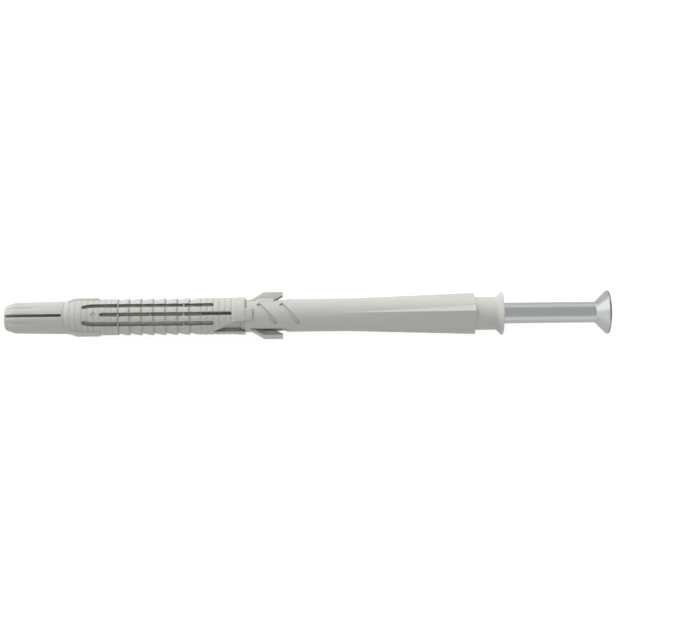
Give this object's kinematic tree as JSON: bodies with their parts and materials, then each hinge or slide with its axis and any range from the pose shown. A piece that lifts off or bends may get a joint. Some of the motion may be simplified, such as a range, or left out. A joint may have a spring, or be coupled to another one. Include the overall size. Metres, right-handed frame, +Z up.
{
  "type": "wall plug with screw",
  "caption": "Long one-piece nylon frame plug with a ringed, slotted expansion zone, side locking wings, a ribbed sleeve and a countersunk collar, with its flat-head screw standing part way out.",
  "frame": {"origin": "middle of the plug and screw's bounding box, at the bottom of the plug's collar, where it lies on a surface", "axes": "+X along the shared axis from the plug's nose to the screw's head, +Z up through the middle row of slots, +Y towards one locking wing"},
  "size_m": [0.1638, 0.012, 0.0118],
  "materials": {
    "nylon": "satin moulded grey nylon",
    "zinc_steel": "bright zinc plating"
  },
  "bodies": {
    "root": {"wall_plug": "nylon", "countersunk_screw": "zinc_steel"}
  },
  "joints": []
}
